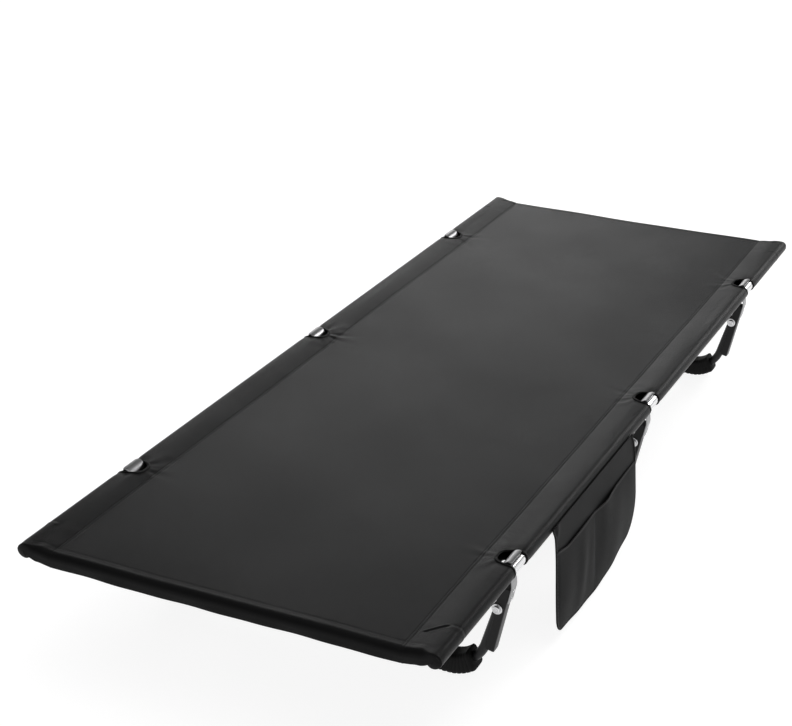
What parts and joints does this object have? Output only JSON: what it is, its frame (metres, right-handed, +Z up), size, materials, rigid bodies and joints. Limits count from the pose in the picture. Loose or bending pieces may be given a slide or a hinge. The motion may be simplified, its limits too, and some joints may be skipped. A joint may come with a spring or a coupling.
{
  "type": "folding cot",
  "caption": "Low folding camp cot: taut fabric bed on two side rails, bent bow legs with rubber feet and over-centre hook levers, and a hanging side pocket.",
  "frame": {"origin": "floor level, in the middle of the whole object's box", "axes": "+Y along the bed, +X towards the pocket side, +Z up"},
  "size_m": [0.7423, 1.9, 0.2284],
  "materials": {
    "bright_aluminium": "bare, polished",
    "brushed_aluminium": "brushed along the rail",
    "black_anodised": "black, satin",
    "bright_steel": "bright turned steel",
    "black_rubber": "moulded, matte",
    "black_plastic": "moulded, matte",
    "bed_cloth": "fine matte woven polyester",
    "pocket_cloth": "thin matte woven polyester",
    "elastic_cord": "braided elastic"
  },
  "bodies": {
    "frame": {"rail_tube_left_1": "bright_aluminium", "rail_tube_left_2": "bright_aluminium", "rail_tube_left_3": "bright_aluminium", "rail_tube_left_4": "bright_aluminium", "rail_ferrule_left_1": "bright_aluminium", "rail_ferrule_left_2": "bright_aluminium", "rail_ferrule_left_3": "bright_aluminium", "rail_cap_left_near": "black_plastic", "rail_cap_left_far": "black_plastic", "rail_cord_left": "elastic_cord", "rail_tube_right_1": "bright_aluminium", "rail_tube_right_2": "bright_aluminium", "rail_tube_right_3": "bright_aluminium", "rail_tube_right_4": "bright_aluminium", "rail_ferrule_right_1": "bright_aluminium", "rail_ferrule_right_2": "bright_aluminium", "rail_ferrule_right_3": "bright_aluminium", "rail_cap_right_near": "black_plastic", "rail_cap_right_far": "black_plastic", "rail_cord_right": "elastic_cord", "bed_sheet": "bed_cloth", "end_webbing_near": "bed_cloth", "end_webbing_far": "bed_cloth", "bow_left_1": "black_anodised", "foot_left_1": "black_rubber", "pivot_rivet_left_1": "bright_steel", "bow_right_1": "black_anodised", "foot_right_1": "black_rubber", "pivot_rivet_right_1": "bright_steel", "bow_ferrule_1": "black_anodised", "bow_left_2": "black_anodised", "foot_left_2": "black_rubber", "pivot_rivet_left_2": "bright_steel", "bow_right_2": "black_anodised", "foot_right_2": "black_rubber", "pivot_rivet_right_2": "bright_steel", "bow_ferrule_2": "black_anodised", "bow_left_3": "black_anodised", "foot_left_3": "black_rubber", "pivot_rivet_left_3": "bright_steel", "bow_right_3": "black_anodised", "foot_right_3": "black_rubber", "pivot_rivet_right_3": "bright_steel", "bow_ferrule_3": "black_anodised"},
    "hook_lever_left_1": {"lever_left_1": "black_anodised", "hook_left_1": "brushed_aluminium"},
    "hook_lever_right_1": {"lever_right_1": "black_anodised", "hook_right_1": "brushed_aluminium"},
    "hook_lever_left_2": {"lever_left_2": "black_anodised", "hook_left_2": "brushed_aluminium"},
    "hook_lever_right_2": {"lever_right_2": "black_anodised", "hook_right_2": "brushed_aluminium"},
    "hook_lever_left_3": {"lever_left_3": "black_anodised", "hook_left_3": "brushed_aluminium"},
    "hook_lever_right_3": {"lever_right_3": "black_anodised", "hook_right_3": "brushed_aluminium"},
    "pocket": {"pocket_panel": "pocket_cloth", "pocket_pouch": "pocket_cloth"}
  },
  "joints": [
    {"name": "lever_pivot_left_1", "type": "hinge", "parent": "frame", "child": "hook_lever_left_1", "pos_m": [-0.33722, -0.65, 0.136], "axis": [0, 1, 0], "range_deg": [0, 110]},
    {"name": "lever_pivot_right_1", "type": "hinge", "parent": "frame", "child": "hook_lever_right_1", "pos_m": [0.30778, -0.65, 0.136], "axis": [0, -1, 0], "range_deg": [0, 110]},
    {"name": "lever_pivot_left_2", "type": "hinge", "parent": "frame", "child": "hook_lever_left_2", "pos_m": [-0.33722, 0, 0.136], "axis": [0, 1, 0], "range_deg": [0, 110]},
    {"name": "lever_pivot_right_2", "type": "hinge", "parent": "frame", "child": "hook_lever_right_2", "pos_m": [0.30778, 0, 0.136], "axis": [0, -1, 0], "range_deg": [0, 110]},
    {"name": "lever_pivot_left_3", "type": "hinge", "parent": "frame", "child": "hook_lever_left_3", "pos_m": [-0.33722, 0.65, 0.136], "axis": [0, 1, 0], "range_deg": [0, 110]},
    {"name": "lever_pivot_right_3", "type": "hinge", "parent": "frame", "child": "hook_lever_right_3", "pos_m": [0.30778, 0.65, 0.136], "axis": [0, -1, 0], "range_deg": [0, 110]},
    {"name": "pocket_swing", "type": "hinge", "parent": "frame", "child": "pocket", "pos_m": [0.34278, 0, 0.21], "axis": [0, -1, 0], "range_deg": [-20, 95]}
  ]
}
